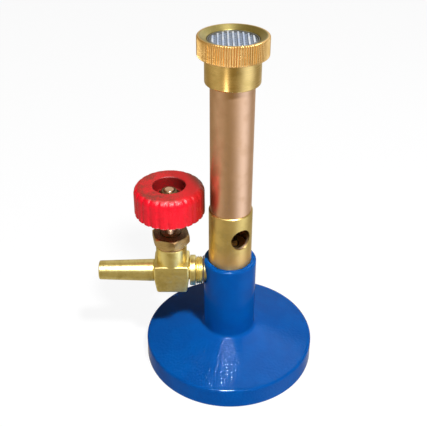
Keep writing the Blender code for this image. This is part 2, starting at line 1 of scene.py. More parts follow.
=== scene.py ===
"""Looks of the bench bunsen burner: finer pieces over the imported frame, materials, light and camera.

Lengths are in millimetres and become metres as each mesh is made. Places and outer sizes come
from the frame's boxes, and what those don't give, such as bores and walls, is named below. A
turned piece has its own +Z along the axis that it is turned about.
"""

import math

import bmesh
import bpy
from mathutils import Matrix, Vector, noise


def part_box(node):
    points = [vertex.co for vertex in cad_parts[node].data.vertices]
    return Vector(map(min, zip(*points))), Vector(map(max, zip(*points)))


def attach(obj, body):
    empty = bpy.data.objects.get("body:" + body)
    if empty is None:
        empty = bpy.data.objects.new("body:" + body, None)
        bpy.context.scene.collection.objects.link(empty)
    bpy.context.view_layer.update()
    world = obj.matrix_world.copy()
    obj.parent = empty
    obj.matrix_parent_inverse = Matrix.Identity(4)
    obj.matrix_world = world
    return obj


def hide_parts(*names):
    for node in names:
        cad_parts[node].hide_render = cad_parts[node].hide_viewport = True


MM = 0.001
GAP = 0.3               # between pieces that touch or screw together
RUN = 0.12              # between the air collar and the tube that it turns on
OVERRUN = 2.0           # how far a cutter runs past what it cuts
SHARP_ANGLE = 38.0      # degrees; an edge steeper than this is shaded sharp

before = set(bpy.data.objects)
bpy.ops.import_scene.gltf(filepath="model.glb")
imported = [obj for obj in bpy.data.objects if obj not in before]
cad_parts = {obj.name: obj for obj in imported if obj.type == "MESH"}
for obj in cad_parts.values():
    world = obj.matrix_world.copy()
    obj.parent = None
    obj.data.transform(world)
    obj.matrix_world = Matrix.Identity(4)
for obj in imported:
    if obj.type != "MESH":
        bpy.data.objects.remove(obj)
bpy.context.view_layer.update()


# Sizes read from the frame

def extent(node):
    """Lowest and highest corner of a CAD node, in millimetres."""
    low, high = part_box(node)
    return low / MM, high / MM


def radius_of(node):
    """Radius of a turned CAD node, from its width across Y."""
    return extent(node)[1].y


def floor_of(node):
    return extent(node)[0].z


def top_of(node):
    return extent(node)[1].z


LINE_Z = (floor_of("hose_nozzle") + top_of("hose_nozzle")) / 2
VALVE_X = (extent("knob")[0].x + extent("knob")[1].x) / 2

ON_TUBE = Matrix.Identity(4)
ON_VALVE = Matrix.Translation((VALVE_X * MM, 0, 0))
# The pieces on the gas line are turned about an axis that points to -X
ON_LINE = Matrix.Translation((0, 0, LINE_Z * MM)) @ Matrix.Rotation(math.radians(-90), 4, "Y")

AIR_HOLE_R = 5.0
AIR_HOLE_TURN = 30.0    # degrees from -Y towards +X
AIR_HOLE_Z = top_of("gas_jet") + 1.2    # the holes' axis is just above the jet's tip
TUBE_WALL = 1.0
SOCKET_R = 4.7          # socket for the nozzle in the block, and the nipple's end in the other one
NECK_BORE_R = 6.2       # of the valve's neck and of the copper washer on it
SPINDLE_END_R = 2.3     # threaded end that carries the knob
KNOB_BORE_R = SPINDLE_END_R + GAP


# Mesh helpers

def rounded(points, arc_steps=4):
    """Outline whose corners are rounded. A point is (radius, height) or (radius, height, corner)."""
    result = []
    for index, point in enumerate(points):
        if len(point) == 2:
            result.append(tuple(point))
            continue
        here = Vector(point[:2])
        back = Vector(points[index - 1][:2]) - here
        ahead = Vector(points[(index + 1) % len(points)][:2]) - here
        half = back.angle(ahead) / 2
        reach = point[2] / math.tan(half)
        reach = min(reach, back.length * 0.49, ahead.length * 0.49)
        corner = reach * math.tan(half)
        back.normalize()
        ahead.normalize()
        centre = here + (back + ahead).normalized() * corner / math.sin(half)
        start = here + back * reach - centre
        end = here + ahead * reach - centre
        for step in range(arc_steps + 1):
            spoke = start.slerp(end, step / arc_steps).normalized() * corner
            result.append(tuple(centre + spoke))
    return result


def filled(outline, longest):
    """Outline with points added, so that no stretch is longer than the given length."""
    result = []
    closed = outline[0][0] > 0
    for index, (r, z) in enumerate(outline):
        result.append((r, z))
        if index == len(outline) - 1 and not closed:
            break
        next_r, next_z = outline[(index + 1) % len(outline)]
        parts = math.ceil(math.hypot(next_r - r, next_z - z) / longest)
        for part in range(1, parts):
            share = part / parts
            result.append((r + (next_r - r) * share, z + (next_z - z) * share))
    return result


def soften(mesh):
    """Smooth shading, with the steep edges left sharp."""
    bm = bmesh.new()
    bm.from_mesh(mesh)
    bmesh.ops.recalc_face_normals(bm, faces=bm.faces)
    for face in bm.faces:
        face.smooth = True
    for edge in bm.edges:
        edge.smooth = edge.calc_face_angle(0.0) < math.radians(SHARP_ANGLE)
    bm.to_mesh(mesh)
    bm.free()


def new_object(name, mesh, place=ON_TUBE):
    made = bpy.data.objects.new(name, mesh)
    made.matrix_world = place
    bpy.context.scene.collection.objects.link(made)
    return made


def spun(name, outline, place=ON_TUBE, steps=96, wave=None):
    """Turn an outline about +Z. wave(angle, r, z) gives how far a point moves outwards."""
    columns = []
    verts = []
    for r, z in outline:
        if r <= 0:
            columns.append([len(verts)] * steps)
            verts.append((0.0, 0.0, z * MM))
            continue
        columns.append(list(range(len(verts), len(verts) + steps)))
        for step in range(steps):
            angle = 2 * math.pi * step / steps
            out = r + (wave(angle, r, z) if wave else 0.0)
            verts.append((out * MM * math.cos(angle), out * MM * math.sin(angle), z * MM))
    faces = []
    closed = outline[0][0] > 0
    rows = len(outline) if closed else len(outline) - 1
    for row in range(rows):
        here = columns[row]
        ahead = columns[(row + 1) % len(outline)]
        for step in range(steps):
            after = (step + 1) % steps
            corners = [here[step], here[after], ahead[after], ahead[step]]
            faces.append(tuple(dict.fromkeys(corners)))
    mesh = bpy.data.meshes.new(name)
    mesh.from_pydata(verts, [], faces)
    soften(mesh)
    return new_object(name, mesh, place)


def combine(piece, tools, operation="DIFFERENCE"):
    """Cut, join or intersect a piece with tools, which are used up."""
    for tool in tools:
        boolean = piece.modifiers.new(tool.name, "BOOLEAN")
        boolean.operation = operation
        boolean.solver = "EXACT"
        boolean.object = tool
    bpy.context.view_layer.update()
    shape = piece.evaluated_get(bpy.context.evaluated_depsgraph_get())
    mesh = bpy.data.meshes.new_from_object(shape)
    piece.modifiers.clear()
    piece.data = mesh
    for tool in tools:
        bpy.data.objects.remove(tool)
    soften(mesh)
    return piece


def cylinder(name, radius, low, high, place=ON_TUBE, steps=64):
    return spun(name, [(0, low), (radius, low), (radius, high), (0, high)], place, steps)


def hex_radius(flats):
    """Radius to the corners of a hexagon, from its width across flats."""
    return flats / 2 / math.cos(math.radians(30))


def turn_about(place, degrees):
    return place @ Matrix.Rotation(math.radians(degrees), 4, "Z")


def wobble(point, size, seed=0.0):
    """Smooth noise between about -1 and 1 whose lumps are of the given size."""
    return noise.noise(Vector(point) / size + Vector((seed, seed * 0.37, -seed)))


# Materials

class Shader:
    """One material under construction. Its texture coordinates are millimetres on the piece."""

    def __init__(self, name):
        self.material = bpy.data.materials.new(name)
        self.material.use_nodes = True
        self.tree = self.material.node_tree
        self.out = self.tree.nodes["Principled BSDF"]
        source = self.tree.nodes.new("ShaderNodeTexCoord")
        scale = self.tree.nodes.new("ShaderNodeVectorMath")
        scale.operation = "SCALE"
        scale.inputs["Scale"].default_value = 1 / MM
        self.tree.links.new(source.outputs["Object"], scale.inputs[0])
        self.point = scale.outputs[0]
        split = self.tree.nodes.new("ShaderNodeSeparateXYZ")
        self.tree.links.new(self.point, split.inputs[0])
        self.across = split.outputs["X"]
        self.along = split.outputs["Y"]
        self.height = split.outputs["Z"]
        flat = self.tree.nodes.new("ShaderNodeVectorMath")
        flat.operation = "MULTIPLY"
        flat.inputs[1].default_value = (1, 1, 0)
        self.tree.links.new(self.point, flat.inputs[0])
        length = self.tree.nodes.new("ShaderNodeVectorMath")
        length.operation = "LENGTH"
        self.tree.links.new(flat.outputs[0], length.inputs[0])
        self.radius = length.outputs["Value"]

    def set(self, **values):
        """Uniform values, straight on the shader's sockets; underscores stand for spaces."""
        for socket, value in values.items():
            self.out.inputs[socket.replace("_", " ")].default_value = value

    def link(self, value, socket):
        self.tree.links.new(value, self.out.inputs[socket])

    def noise(self, size, detail=2.0, stretch=(1, 1, 1), roughness=0.5):
        """Noise whose lumps are about size millimetres, longer along the stretched axes."""
        mapping = self.tree.nodes.new("ShaderNodeMapping")
        mapping.inputs["Scale"].default_value = [1 / (size * s) for s in stretch]
        texture = self.tree.nodes.new("ShaderNodeTexNoise")
        texture.inputs["Scale"].default_value = 1.0
        texture.inputs["Detail"].default_value = detail
        texture.inputs["Roughness"].default_value = roughness
        self.tree.links.new(self.point, mapping.inputs["Vector"])
        self.tree.links.new(mapping.outputs[0], texture.inputs["Vector"])
        return texture.outputs["Fac"]

    def spread(self, value, low, high, out_low=0.0, out_high=1.0):
        """Map a range of a value to another, smoothly, and hold it there."""
        node = self.tree.nodes.new("ShaderNodeMapRange")
        node.interpolation_type = "SMOOTHSTEP"
        node.inputs["From Min"].default_value = low
        node.inputs["From Max"].default_value = high
        node.inputs["To Min"].default_value = out_low
        node.inputs["To Max"].default_value = out_high
        self.tree.links.new(value, node.inputs["Value"])
        return node.outputs["Result"]

    def math(self, operation, first, second):
        node = self.tree.nodes.new("ShaderNodeMath")
        node.operation = operation
        for socket, value in zip(node.inputs, (first, second)):
            if isinstance(value, (int, float)):
                socket.default_value = value
            else:
                self.tree.links.new(value, socket)
        return node.outputs[0]

    def mix(self, share, first, second):
        """Colour between two, each an RGB triple or another node's output."""
        node = self.tree.nodes.new("ShaderNodeMix")
        node.data_type = "RGBA"
        self.tree.links.new(share, node.inputs["Factor"])
        for socket, value in (("A", first), ("B", second)):
            plug = [i for i in node.inputs if i.name == socket and i.type == "RGBA"][0]
            if isinstance(value, tuple):
                plug.default_value = (*value, 1)
            else:
                self.tree.links.new(value, plug)
        return [o for o in node.outputs if o.type == "RGBA"][0]

    def bump(self, height, depth, below=None):
        """Bump whose full height is depth millimetres, over an optional bump below it."""
        node = self.tree.nodes.new("ShaderNodeBump")
        node.inputs["Strength"].default_value = 1.0
        node.inputs["Distance"].default_value = depth * MM
        self.tree.links.new(height, node.inputs["Height"])
        if below is not None:
            self.tree.links.new(below, node.inputs["Normal"])
        return node.outputs["Normal"]


def brass(name, bright, dull, rough, marks=0.004, tarnish=0.5, patina_and_shade=None):
    """Machined metal: tool marks round the axis, cloudy tarnish and uneven gloss.

    patina_and_shade is (where, colour); callers use it for a patina, and for painted shade:
    where(shader) gives the share of the metal that takes the colour.
    """
    s = Shader(name)
    cloud = s.noise(5.0, 4.0)
    speck = s.noise(0.6, 3.0)
    share = s.math("MULTIPLY", s.spread(cloud, 0.42, 0.72), tarnish)
    share = s.math("ADD", share, s.spread(speck, 0.58, 0.75, 0.0, 0.25 * tarnish))
    colour = s.mix(share, bright, dull)
    if patina_and_shade:
        where = s.math("MULTIPLY", patina_and_shade[0](s), s.spread(speck, 0.3, 0.6, 0.8, 1.0))
        colour = s.mix(where, colour, patina_and_shade[1])
        share = s.math("MAXIMUM", share, where)
    s.link(colour, "Base Color")
    streak = s.noise(0.25, 2.0, (60, 60, 1))
    gloss = s.math("ADD", s.spread(streak, 0.3, 0.7, -12 * marks, 12 * marks), rough)
    s.link(s.math("ADD", gloss, s.math("MULTIPLY", share, 0.12)), "Roughness")
    s.link(s.bump(speck, marks * 0.6, s.bump(streak, marks)), "Normal")
    s.set(Metallic=1.0, Anisotropic=0.5, Anisotropic_Rotation=0.25)
    tangent = s.tree.nodes.new("ShaderNodeTangent")
    tangent.direction_type = "RADIAL"
    tangent.axis = "Z"
    s.link(tangent.outputs[0], "Tangent")
    return s.material


def blue_enamel():
    """Gloss enamel: orange peel that is deep on the cast cone and shallow on the turned boss."""
    s = Shader("blue_enamel")
    tone = s.noise(9.0, 3.0)
    fleck = s.noise(0.9, 2.0)
    deep = s.mix(s.spread(tone, 0.35, 0.68), (0.0020, 0.078, 0.345), (0.0012, 0.090, 0.385))
    s.link(s.mix(s.spread(fleck, 0.62, 0.80, 0.0, 0.35), deep, (0.012, 0.125, 0.46)), "Base Color")
    cast = s.spread(s.radius, 13.0, 15.5, 0.10, 1.0)
    peel = s.math("MULTIPLY", s.noise(1.2, 0.0), cast)
    s.link(s.bump(peel, 0.115), "Normal")
    s.link(s.spread(s.noise(2.5, 3.0), 0.3, 0.7, 0.05, 0.08), "Roughness")
    s.set(Specular_IOR_Level=0.05, Specular_Tint=(0.60, 0.80, 1.0, 1.0))
    return s.material


def red_plastic():
    """Moulded plastic: even sides, a top scuffed dull, fine grain, and painted shade in the recess and
    on the side towards the tube.
    """
    s = Shader("red_plastic")
    cloud = s.noise(2.2, 4.0)
    patch = s.noise(7.0, 2.0)
    speck = s.noise(0.5, 3.0)
    lit = s.mix(s.spread(cloud, 0.35, 0.7), (0.97, 0.006, 0.024), (0.84, 0.004, 0.018))
    rim = s.spread(s.height, top_of("knob") - 1.0, top_of("knob") - 0.1)
    scuff = s.math("MULTIPLY", rim, s.spread(speck, 0.32, 0.58, 0.5, 1.0))
    scuff = s.math("MULTIPLY", scuff, s.spread(patch, 0.40, 0.60, 0.55, 1.0))
    scuff = s.math("MULTIPLY", scuff, s.spread(s.across, -4.0, 12.0, 1.0, 0.35))
    worn_and_shaded = s.mix(scuff, lit, (0.21, 0.040, 0.024))
    # Painted shade: darker on the side towards the tube, 25 degrees round from +X, and dark brown at
    # its edge
    facing = s.math("ADD", s.math("MULTIPLY", s.across, 0.91), s.math("MULTIPLY", s.along, 0.42))
    worn_and_shaded = s.mix(s.spread(facing, -2.0, 9.0, 0.0, 0.9), worn_and_shaded, (0.46, 0.010, 0.010))
    tube_side_shade = s.spread(facing, 9.0, 14.0, 0.0, 0.92)
    worn_and_shaded = s.mix(tube_side_shade, worn_and_shaded, (0.10, 0.022, 0.010))
    # Painted shade in the knob's recess, darker in speckles
    inside = s.spread(s.radius, 7.4, 8.0, 1.0, 0.0)
    inside = s.math("MULTIPLY", inside, s.spread(speck, 0.30, 0.66, 0.7, 1.0))
    s.link(s.mix(inside, worn_and_shaded, (0.16, 0.010, 0.008)), "Base Color")
    gloss = s.math("MULTIPLY", scuff, 0.25)
    s.link(s.math("ADD", s.spread(speck, 0.3, 0.7, 0.24, 0.40), gloss), "Roughness")
    s.link(s.bump(speck, 0.030, s.bump(cloud, 0.05)), "Normal")
    s.set(Specular_IOR_Level=0.20, Specular_Tint=(1.0, 0.75, 0.75, 1.0))
    return s.material


def dark_seal(name, colour, roughness):
    """Pressed fibre or rubber: dark, matt and slightly mottled."""
    s = Shader(name)
    fibre = s.noise(0.4, 3.0)
    lighter = tuple(c * 1.9 for c in colour)
    s.link(s.mix(s.spread(fibre, 0.35, 0.7), colour, lighter), "Base Color")
    s.link(s.bump(fibre, 0.03), "Normal")
    s.set(Roughness=roughness)
    return s.material


def nickel_strip():
    """Rolled strip, frosted in the flame, with a blue tint that comes and goes."""
    s = Shader("nickel_strip")
    tint = s.noise(3.5, 3.0)
    streak = s.noise(0.4, 2.0, (1, 30, 30))
    pale = s.mix(s.spread(tint, 0.36, 0.64), (0.82, 0.88, 0.96), (0.50, 0.62, 0.86))
    # Painted shade: the strips are darker lower down, between one another
    sunk = s.spread(s.height, top_of("grid") - 0.5, top_of("grid") - 0.15, 1.0, 0.0)
    sooty = s.spread(s.radius, 9.4, 9.6, 0.0, 1.0)
    s.link(s.mix(sooty, s.mix(sunk, pale, (0.52, 0.59, 0.70)), (0.22, 0.22, 0.20)), "Base Color")
    s.link(s.spread(streak, 0.3, 0.7, 0.22, 0.40), "Roughness")
    s.link(s.bump(streak, 0.006), "Normal")
    s.set(Metallic=0.55)
    return s.material


BLUE = blue_enamel()
RED = red_plastic()
# Painted shade: turned brass is darkened within about 4.4 mm of its axis, for the knob's nut down in
# the recess; the gas jet takes it too
TURNED = brass("turned_brass", (0.84, 0.59, 0.22), (0.54, 0.38, 0.11), 0.28,
               patina_and_shade=(lambda s: s.spread(s.radius, 4.2, 4.6, 1.0, 0.0), (0.20, 0.13, 0.07)))
SATIN = brass("satin_brass", (0.74, 0.55, 0.19), (0.48, 0.35, 0.10), 0.40, 0.003,
              patina_and_shade=(lambda s: s.spread(s.height, 60.0, 72.0, 0.5, 0.0), (0.86, 0.47, 0.20)))
KNURLED = brass("knurled_brass", (1.00, 0.66, 0.27), (0.82, 0.48, 0.14), 0.28, 0.002,
                patina_and_shade=(lambda s: s.spread(s.radius, 13.7, 14.3, 1.0, 0.0), (0.46, 0.40, 0.15)))
VALVE = brass("valve_brass", (1.00, 0.86, 0.37), (0.64, 0.50, 0.15), 0.36, 0.006, 0.8)
# Painted shade: aged brass is darkened near and above the bonnet's top face, for the bonnet's top in
# the knob's shadow, the top of the gland bush and the knob's washer in the recess
AGED = brass("aged_brass", (0.78, 0.58, 0.28), (0.28, 0.17, 0.07), 0.40, 0.012, 0.9,
             (lambda s: s.spread(s.height, top_of("bonnet_nut") - 0.5, top_of("bonnet_nut") - 0.1),
              (0.12, 0.075, 0.04)))
COPPER = brass("copper_fittings", (0.86, 0.58, 0.40), (0.66, 0.40, 0.235), 0.30)
# Darker olive, in flecks, on the bore and the inner part of the air holes' walls
TUBE = brass("copper_tube", (0.84, 0.54, 0.355), (0.68, 0.42, 0.25), 0.41, 0.0007,
             patina_and_shade=(lambda s: s.math("MULTIPLY", s.spread(s.radius, 8.9, 9.3, 1.0, 0.0),
                                      s.spread(s.noise(0.9, 1.0), 0.40, 0.58, 0.45, 1.0)),
                     (0.16, 0.13, 0.06)))
NICKEL = nickel_strip()
FIBRE = dark_seal("seal_fibre", (0.05, 0.035, 0.03), 0.85)
RUBBER = dark_seal("seal_rubber", (0.015, 0.015, 0.015), 0.70)


def finish_piece(piece, body, material, slot, *nodes):
    """Give a piece its material, hang it on its body and hide the CAD nodes that it stands in for."""
    piece.data.materials.clear()
    piece.data.materials.append(material)
    for face in piece.data.polygons:
        face.material_index = 0
    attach(piece, body)
    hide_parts(*nodes)
    return piece


# Foot

def make_foot():
    """Cast foot: low cone with a rounded rim, tall boss with a counterbore, hollow underside."""
    edge = radius_of("foot")
    top = top_of("foot")
    cone_low = 10.4
    cone_high = 17.0
    boss_r = 12.8
    bore_r = 8.6
    counterbore_r = 10.35
    bore_floor = 38.0
    counterbore_floor = 56.3
    recess = 5.5
    recess_r = 37.5
    pad_r = 12.0
    draft = 1.0
    unevenness = 0.05       # of the casting, which stays inside the CAD's box
    grain = 0.006
    turned_share = 0.25     # how much of the unevenness the turned boss keeps
    outline = [(0, bore_floor), (bore_r, bore_floor), (bore_r, counterbore_floor, 0.1)]
    outline += [(counterbore_r, counterbore_floor), (counterbore_r, top, 0.15), (boss_r, top, 1.1)]
    outline += [(boss_r, cone_high + 0.3, 2.2), (edge - 0.15, cone_low, 1.3), (edge, 0.0, 0.6)]
    outline += [(recess_r + draft, 0, 0.3), (recess_r, recess, 1.2)]
    outline += [(pad_r + 2 * draft, recess, 1.2), (pad_r, 0, 0.4), (0, 0)]

    def cast(angle, r, z):
        if r < boss_r - 1 or z < 0.7:
            return 0.0
        place = (r * math.cos(angle), r * math.sin(angle), z)
        share = 1.0 if r > boss_r + 2 else turned_share
        lumps = unevenness * wobble(place, 16.0, 3.0) + grain * wobble(place, 4.0, 9.0)
        return share * lumps - unevenness

    foot = spun("foot_casting", filled(rounded(outline, 6), longest=1.4), steps=200, wave=cast)
    port_r = 5.9
    spot_face_r = 7.4
    spot_face_x = 12.2
    reach = boss_r + OVERRUN
    port = cylinder("cut_port", port_r, bore_r - OVERRUN, reach, ON_LINE, steps=56)
    face = cylinder("cut_spot_face", spot_face_r, spot_face_x, reach, ON_LINE, steps=56)
    combine(foot, [port, face])
    finish_piece(foot, "burner", BLUE, "blue_enamel", "foot")


# Tube and air collar

def air_hole_cutter(outer_r):
    """Drill through both walls, flared at the outside so that the hole's edge is broken."""
    across = turn_about(Matrix.Translation((0, 0, AIR_HOLE_Z * MM)), AIR_HOLE_TURN)
    across = across @ Matrix.Rotation(math.radians(90), 4, "X")
    flared_r = AIR_HOLE_R + 0.35
    flare_start = outer_r - 1.1
    flare_end = outer_r - 0.2
    reach = outer_r + OVERRUN
    half = [(AIR_HOLE_R, flare_start), (flared_r, flare_end), (flared_r, reach), (0, reach)]
    outline = [(r, -z) for r, z in reversed(half)] + half
    return spun("cut_air_holes", outline, across, steps=72)


def make_tube():
    outer = radius_of("burner_tube")
    inner = outer - TUBE_WALL
    low = floor_of("burner_tube")
    high = top_of("burner_tube")
    outline = rounded([(inner, high, 0.2), (outer, high, 0.25), (outer, low, 0.25), (inner, low, 0.2)])
    tube = spun("tube", outline, steps=144)
    combine(tube, [air_hole_cutter(outer)])
    finish_piece(tube, "burner", TUBE, "copper_tube", "burner_tube")


def make_collar():
    outer = radius_of("air_collar")
    inner = radius_of("burner_tube") + RUN
    low = floor_of("air_collar")
    high = top_of("air_collar")
    chamfer = 0.5
    outline = rounded([(inner, high - 0.1, 0.05), (outer - chamfer, high, 0.15),
                       (outer, high - chamfer, 0.15), (outer, low, 0.15), (inner, low)], 3)
    collar = spun("collar_sleeve", outline, steps=144)
    combine(collar, [air_hole_cutter(outer)])
    finish_piece(collar, "collar", SATIN, "turned_brass", "air_collar")


# Gas line

def make_nozzle():
    """Tapered hose nozzle with the ridges that the turning tool left."""
    low, high = extent("hose_nozzle")
    block_face = -extent("valve_body")[0].x
    shoulder = block_face + GAP
    end = -low.x
    tail = -high.x
    root_r = 5.45
    tip_r = 4.65
    bore_r = 2.9
    mouth_r = bore_r + 0.5
    mouth_depth = 0.6
    tail_r = SOCKET_R - GAP
    ridges_per_mm = 1.35
    ridge_depth = 0.035
    outline = [(mouth_r, end, 0.2), (tip_r, end, 1.0), (root_r, shoulder, 0.35), (tail_r, shoulder)]
    outline += [(tail_r, tail, 0.3), (bore_r, tail, 0.1), (bore_r, end - mouth_depth, 0.2)]

    def ridges(angle, r, z):
        if r < tip_r - 0.4 or z < shoulder + 0.3:
            return 0.0
        along = z * ridges_per_mm - angle / (2 * math.pi)
        cut = 0.5 + 0.5 * math.cos(2 * math.pi * along)
        return -ridge_depth * cut * (1.0 + 0.8 * wobble((z, 0.3, 0.7), 2.5, 5.0))

    nozzle = spun("nozzle", filled(rounded(outline, 5), longest=0.14), ON_LINE, 88, ridges)
    finish_piece(nozzle, "burner", VALVE, "valve_brass", "hose_nozzle")


def make_nipple():
    """Nipple with a helical thread where it shows between the boss and the lock ring."""
    low, high = extent("inlet_nipple")
    start = -high.x
    end = -low.x
    bore_r = 2.2
    port_r = 5.6
    neck_r = 5.5            # under the lock ring
    thread_r = radius_of("inlet_nipple")
    thread_low = 13.4
    thread_high = 16.4
    shoulder = thread_high + 3.0
    pitch = 1.0
    depth = 0.5
    steepness = 2.6
    crest = 0.3
    outline = [(bore_r, end), (SOCKET_R, end, 0.3), (SOCKET_R, shoulder), (neck_r, shoulder)]
    outline += [(neck_r, thread_high), (thread_r, thread_high, 0.25), (thread_r, thread_low, 0.25)]
    outline += [(port_r, thread_low), (port_r, start, 0.3), (bore_r, start)]

    def thread(angle, r, z):
        if r < thread_r - 0.3 or not thread_low + 0.2 < z < thread_high - 0.2:
            return 0.0
        phase = (z / pitch + angle / (2 * math.pi)) % 1.0
        return -depth * min(1.0, max(0.0, steepness * abs(phase - 0.5) - crest))

    nipple = spun("nipple", filled(rounded(outline, 3), longest=0.07), ON_LINE, 72, thread)
    finish_piece(nipple, "burner", VALVE, "valve_brass", "inlet_nipple")


def make_lock_ring():
    low, high = extent("lock_ring")
    outer = radius_of("lock_ring")
    near = -high.x
    far = -low.x
    bore = 5.8
    outline = rounded([(outer, far, 0.35), (outer, near, 0.35), (bore, near, 0.15), (bore, far, 0.15)])
    ring = spun("clamp_ring", outline, ON_LINE, steps=72)
    finish_piece(ring, "burner", VALVE, "valve_brass", "lock_ring")


# Needle valve

def make_valve_body():
    """Block with flattened corners under a round neck, both broken at the edges and slightly cast."""
    low, high = extent("valve_body")
    half_x = high.x - VALVE_X
    half_y = high.y
    foot_half_x = half_x - 1.2
    top = 56.8
    neck_r = 7.4
    neck_sunk = top - 3
    broken_edge = 1.0
    levels = [low.z, LINE_Z, top]
    bm = bmesh.new()
    rings = []
    for z, half in zip(levels, (foot_half_x, half_x, half_x)):
        corners = [(-half, -half_y), (half, -half_y), (half, half_y), (-half, half_y)]
        rings.append([bm.verts.new((x * MM, y * MM, z * MM)) for x, y in corners])
    bm.faces.new(reversed(rings[0]))
    bm.faces.new(rings[-1])
    for below, above in zip(rings, rings[1:]):
        for i in range(4):
            j = (i + 1) % 4
            bm.faces.new((below[i], below[j], above[j], above[i]))
    bmesh.ops.bevel(bm, geom=list(bm.edges), offset=broken_edge * MM, segments=5, profile=0.5,
                    affect="EDGES", clamp_overlap=True)
    mesh = bpy.data.meshes.new("valve_block")
    bm.to_mesh(mesh)
    bm.free()
    block = new_object("valve_block", mesh, ON_VALVE)
    neck = rounded([(0, high.z), (neck_r, high.z, 0.5), (neck_r, top, 0.1),
                    (neck_r - 0.1, neck_sunk), (0, neck_sunk)])
    combine(block, [spun("join_neck", neck, ON_VALVE, steps=96)], "UNION")

    above = high.z + OVERRUN
    thread_floor = high.z - 6
    chamber_r = 5.3
    chamber_floor = 53.6
    orifice_r = 1.6
    passage_floor = LINE_Z - 0.7
    chamber = [(0, above), (NECK_BORE_R, above), (NECK_BORE_R, thread_floor)]
    chamber += [(chamber_r, thread_floor), (chamber_r, chamber_floor), (orifice_r, chamber_floor)]
    chamber += [(orifice_r, passage_floor), (0, passage_floor)]

    outer_face = -low.x
    inner_face = -high.x
    inlet_r = 1.4
    inlet_floor = outer_face - 5.6
    inlet_end = -VALVE_X - 0.5
    inlet = [(0, outer_face + OVERRUN), (SOCKET_R, outer_face + OVERRUN), (SOCKET_R, inlet_floor)]
    inlet += [(inlet_r, inlet_floor), (inlet_r, inlet_end), (0, inlet_end)]
    outlet = cylinder("cut_outlet", SOCKET_R + GAP, inner_face - OVERRUN, inner_face + 4, ON_LINE,
                      steps=48)
    combine(block, [spun("cut_chamber", chamber, ON_VALVE, steps=64),
                    spun("cut_inlet", inlet, ON_LINE, steps=48), outlet])
    finish_piece(block, "burner", VALVE, "valve_brass", "valve_body")


def make_bonnet():
    """Hexagon bonnet, its corners turned to a cone above and below, bored for the spindle."""
    hex_low = 66.7
    high = top_of("bonnet_nut")
    flats = 16.3
    corner = hex_radius(flats)
    corner_turn = 14.0      # degrees that a corner stands from -Y towards +X
    place = turn_about(ON_VALVE, corner_turn - 90)
    nut = spun("bonnet", [(0, hex_low), (corner, hex_low), (corner, high), (0, high)], place, 6)
    inside = flats / 2 - 0.25
    outside = corner + 0.3
    foot_r = 7.6
    envelope = [(0, high), (inside, high, 0.2), (outside, high - 0.95)]
    envelope += [(outside, hex_low + 2.4), (foot_r, hex_low, 0.2), (0, hex_low)]
    combine(nut, [spun("keep_chamfer", rounded(envelope), ON_VALVE, steps=96)], "INTERSECT")

    stub_r = NECK_BORE_R - GAP
    stub_low = floor_of("bonnet_nut")
    stub = cylinder("join_stub", stub_r, stub_low, hex_low + OVERRUN, ON_VALVE, steps=48)
    combine(nut, [stub], "UNION")

    bush_hole_r = 5.0
    bush_floor = 70.0
    seal_bore_r = 3.6
    seal_bore_floor = 65.0
    thread_r = 3.3
    bore = [(0, high + OVERRUN), (bush_hole_r, high + OVERRUN), (bush_hole_r, bush_floor)]
    bore += [(seal_bore_r, bush_floor), (seal_bore_r, seal_bore_floor)]
    bore += [(thread_r, seal_bore_floor - 0.4), (thread_r, stub_low - OVERRUN)]
    bore += [(0, stub_low - OVERRUN)]
    combine(nut, [spun("cut_bore", bore, ON_VALVE, steps=64)])
    finish_piece(nut, "burner", AGED, "aged_brass", "bonnet_nut")

    washer_low, washer_high = floor_of("bonnet_washer"), top_of("bonnet_washer")
    outer = radius_of("bonnet_washer")
    outline = rounded([(outer, washer_high, 0.2), (outer, washer_low, 0.2),
                       (NECK_BORE_R, washer_low), (NECK_BORE_R, washer_high)])
    washer = spun("sealing_washer", outline, ON_VALVE, steps=72)
    finish_piece(washer, "burner", COPPER, "copper_tube", "bonnet_washer")

    bush_r = radius_of("gland_bush")
    low, high = floor_of("gland_bush"), top_of("gland_bush")
    hole = 2.65
    outline = rounded([(hole, high, 0.15), (bush_r, high, 0.4), (bush_r, low), (hole, low)])
    bush = spun("bush", outline, ON_VALVE, steps=64)
    finish_piece(bush, "burner", AGED, "aged_brass", "gland_bush")


